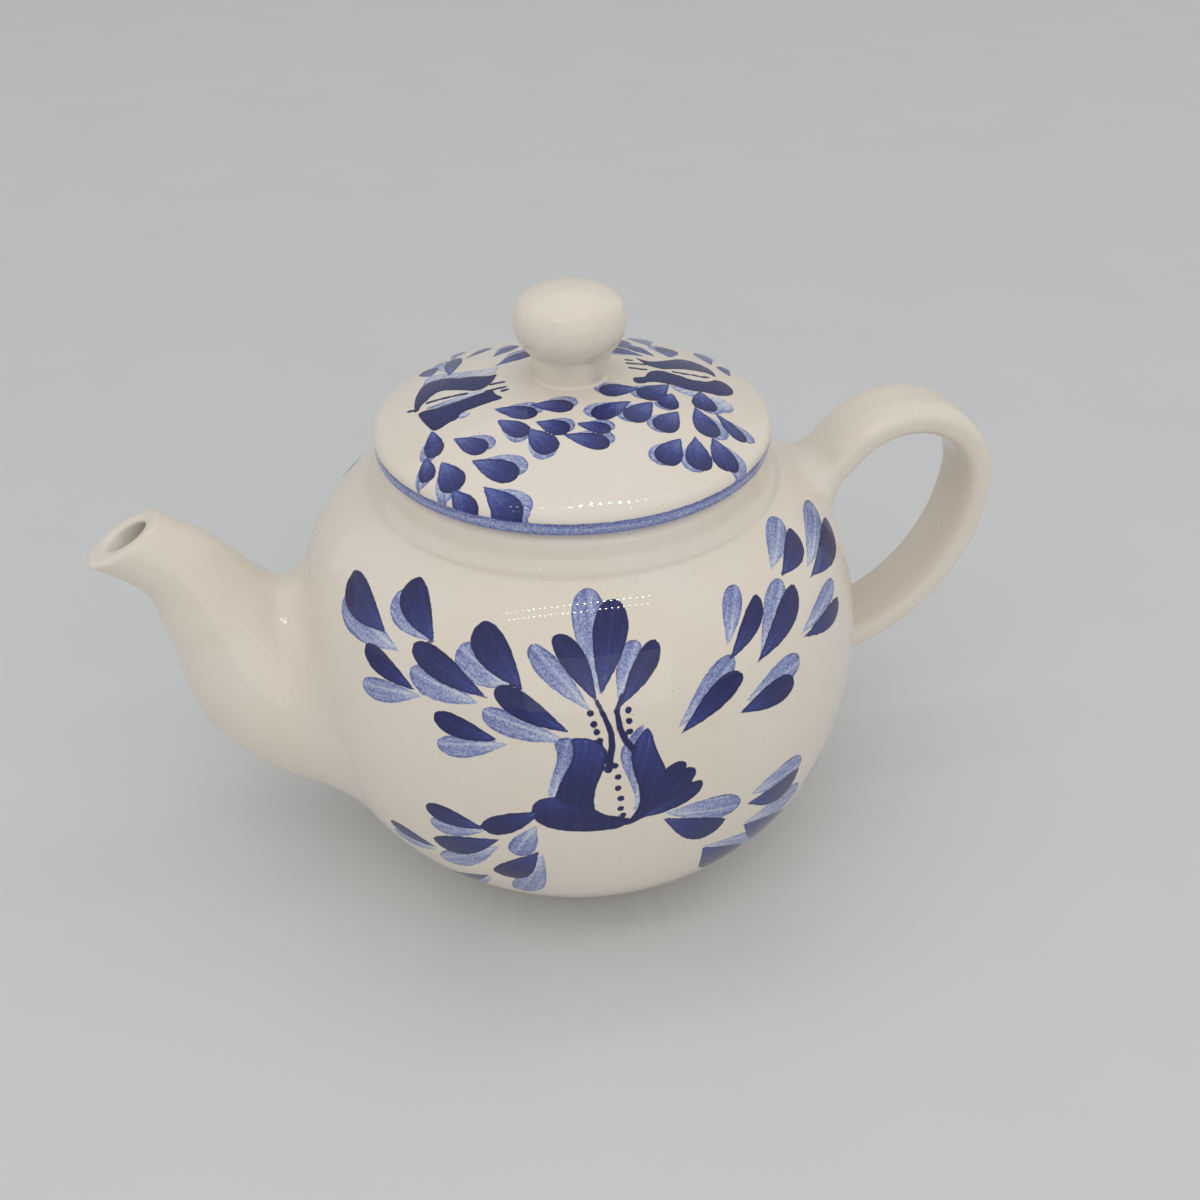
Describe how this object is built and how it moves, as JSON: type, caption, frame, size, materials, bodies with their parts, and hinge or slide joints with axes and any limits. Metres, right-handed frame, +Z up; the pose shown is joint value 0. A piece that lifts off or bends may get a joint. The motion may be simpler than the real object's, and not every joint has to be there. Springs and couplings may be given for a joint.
{
  "type": "teapot",
  "caption": "Round-bellied glazed ceramic teapot with a curved spout, a loop handle and a lift-off domed lid, painted with blue brushed flowers.",
  "frame": {"origin": "centre of the foot ring's underside, on the turning axis", "axes": "+Z up along the turning axis, +X towards the handle, the spout along -X"},
  "size_m": [0.2258, 0.1426, 0.1491],
  "materials": {
    "cream_glaze": "glossy",
    "bare_clay": "matte"
  },
  "bodies": {
    "pot": {"pot_body": "cream_glaze", "foot_ring": "bare_clay", "neck_collar": "cream_glaze", "spout": "cream_glaze", "handle": "cream_glaze"},
    "lid": {"lid_dome": "cream_glaze", "lid_flange": "cream_glaze", "lid_knob": "cream_glaze"}
  },
  "joints": [
    {"name": "lid_lift", "type": "slide", "parent": "pot", "child": "lid", "axis": [0, 0, 1], "range_m": [0, 0.08]}
  ]
}
